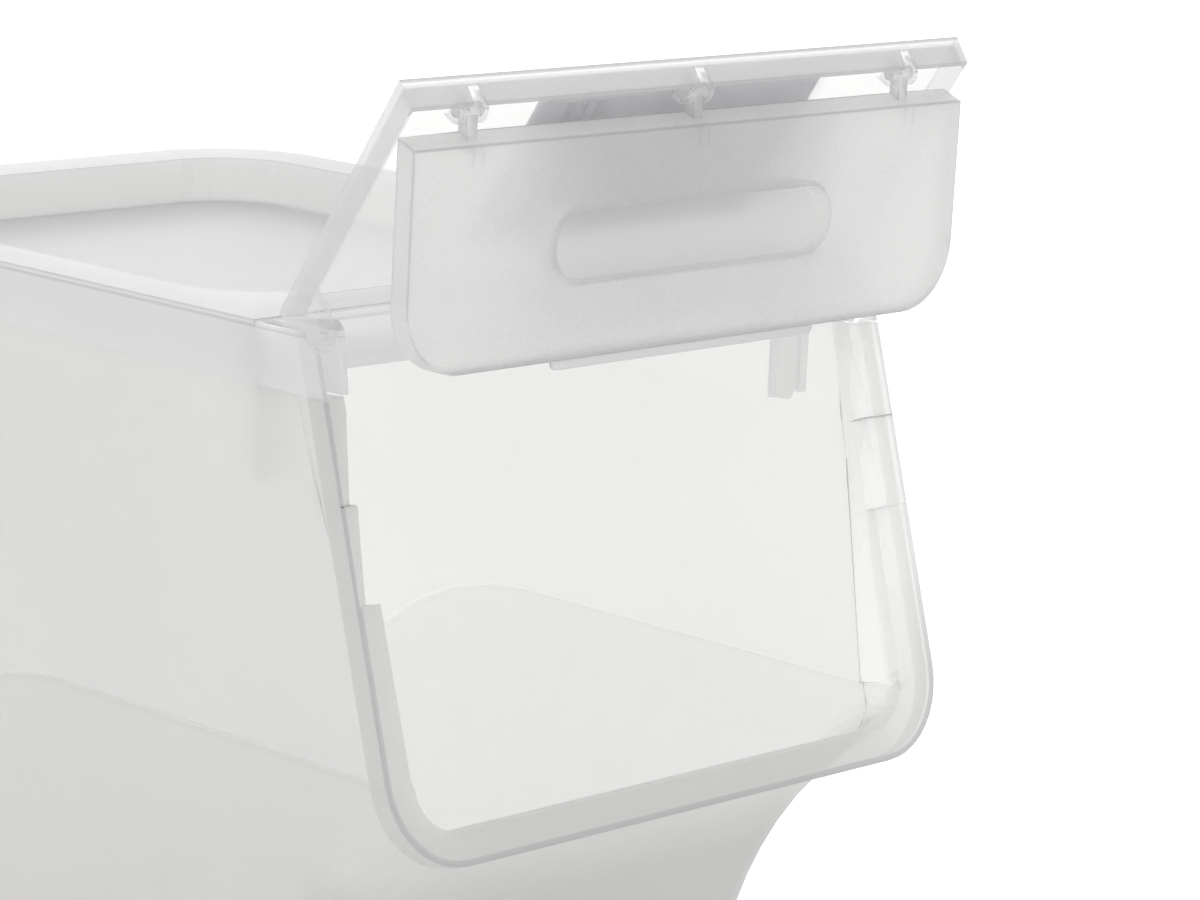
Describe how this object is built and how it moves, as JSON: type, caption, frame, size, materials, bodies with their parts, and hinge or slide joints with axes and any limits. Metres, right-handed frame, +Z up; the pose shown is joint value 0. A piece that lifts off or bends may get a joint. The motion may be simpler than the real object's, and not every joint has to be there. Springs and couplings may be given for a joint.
{
  "type": "stackable storage bin with folding front flap",
  "caption": "Translucent stackable storage bin with a slanted front mouth, closed by a flap that folds in half and swings up to open.",
  "frame": {"origin": "centre of the stacking foot's underside", "axes": "+Z up; the mouth faces -Y; +X to the right seen from the front; symmetrical about x = 0"},
  "size_m": [0.384, 0.5647, 0.5719],
  "materials": {
    "bin_body": "translucent moulded polypropylene, fine satin",
    "top_cover": "translucent moulded polypropylene, satin",
    "upper_flap": "clear glossy moulded plastic",
    "lower_flap": "translucent plastic with a fine frosted face",
    "label_sticker": "plain printed paper label"
  },
  "bodies": {
    "bin": {"bin_body": "bin_body", "top_cover": "top_cover"},
    "upper_flap": {"upper_flap": "upper_flap", "label_sticker": "label_sticker"},
    "lower_flap": {"lower_flap": "lower_flap"}
  },
  "joints": [
    {"name": "upper_flap_hinge", "type": "hinge", "parent": "bin", "child": "upper_flap", "pos_m": [0, -0.26583, 0.4467], "axis": [-1, 0, 0], "range_deg": [-130.5, 0]},
    {"name": "flap_fold", "type": "hinge", "parent": "upper_flap", "child": "lower_flap", "pos_m": [0, -0.32252, 0.55578], "axis": [-1, 0, 0], "range_deg": [0, 147.75]}
  ],
  "couplings": [
    {"joint": "flap_fold", "follows": "upper_flap_hinge", "ratio": -1.1319}
  ]
}
